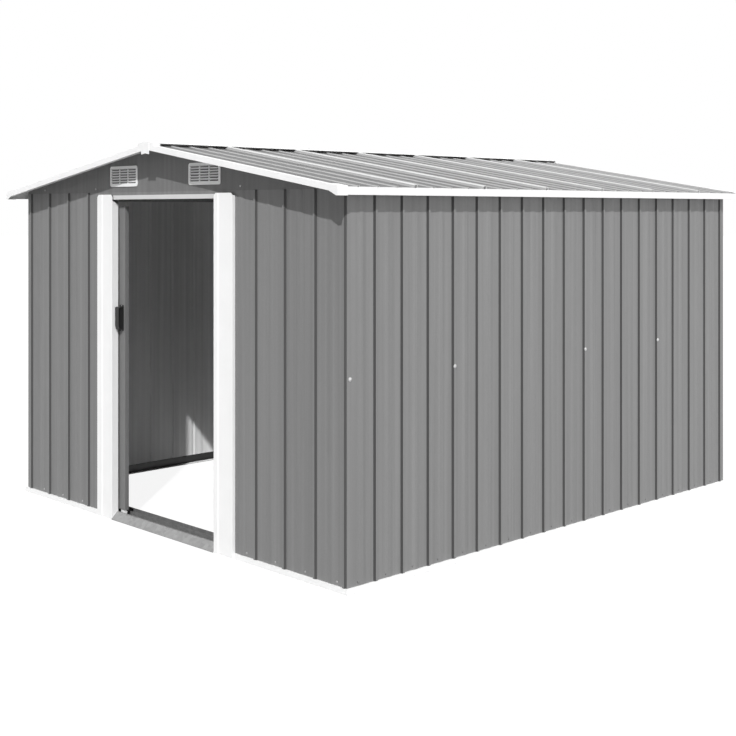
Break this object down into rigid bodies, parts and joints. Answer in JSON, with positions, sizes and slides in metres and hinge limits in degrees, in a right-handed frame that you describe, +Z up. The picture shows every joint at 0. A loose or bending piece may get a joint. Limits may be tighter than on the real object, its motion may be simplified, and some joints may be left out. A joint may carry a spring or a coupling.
{
  "type": "metal storage shed",
  "caption": "Low metal storage shed with ribbed grey walls, a shallow gable roof, white trims and one sliding door.",
  "frame": {"origin": "middle of the base, on the ground", "axes": "+X to the right seen from the doorway side, -Y out of the doorway, +Z up"},
  "size_m": [2.575, 2.985, 1.7962],
  "materials": {
    "wall_sheet": "satin",
    "roof_sheet": "satin",
    "white_trim": "satin",
    "white_plastic": "matte",
    "black_plastic": "matte",
    "galvanised": "satin",
    "dark_metal": "satin"
  },
  "bodies": {
    "shed": {"back_gable": "wall_sheet", "back_wall": "wall_sheet", "base_rail_back": "white_trim", "base_rail_front_left": "white_trim", "base_rail_front_right": "white_trim", "base_rail_left": "white_trim", "base_rail_right": "white_trim", "corner_caps_back": "white_plastic", "corner_caps_front": "white_plastic", "door_track_lower": "dark_metal", "door_track_upper": "galvanised", "eave_trim_left": "white_trim", "eave_trim_right": "white_trim", "front_gable": "wall_sheet", "front_wall_left": "wall_sheet", "front_wall_right": "wall_sheet", "header_rail": "white_trim", "jamb_left": "white_trim", "jamb_right": "white_trim", "left_wall": "wall_sheet", "lintel_panel": "wall_sheet", "peak_cap_back": "white_plastic", "peak_cap_front": "white_plastic", "ridge_beam": "galvanised", "ridge_cap": "white_trim", "right_wall": "wall_sheet", "roof_beam_left": "galvanised", "roof_beam_right": "galvanised", "roof_left": "roof_sheet", "roof_right": "roof_sheet", "sill_ramp": "galvanised", "top_rail_back": "galvanised", "top_rail_left": "galvanised", "top_rail_right": "galvanised", "vents_back": "white_plastic", "vents_front": "white_plastic", "verge_trim_back_left": "white_trim", "verge_trim_back_right": "white_trim", "verge_trim_front_left": "white_trim", "verge_trim_front_right": "white_trim"},
    "door": {"door_frame": "wall_sheet", "door_panel": "wall_sheet", "door_handle": "black_plastic", "door_hangers": "white_plastic", "door_guides": "white_plastic"}
  },
  "joints": [
    {"name": "door_slide", "type": "slide", "parent": "shed", "child": "door", "axis": [1, 0, 0], "range_m": [0, 0.76]}
  ]
}
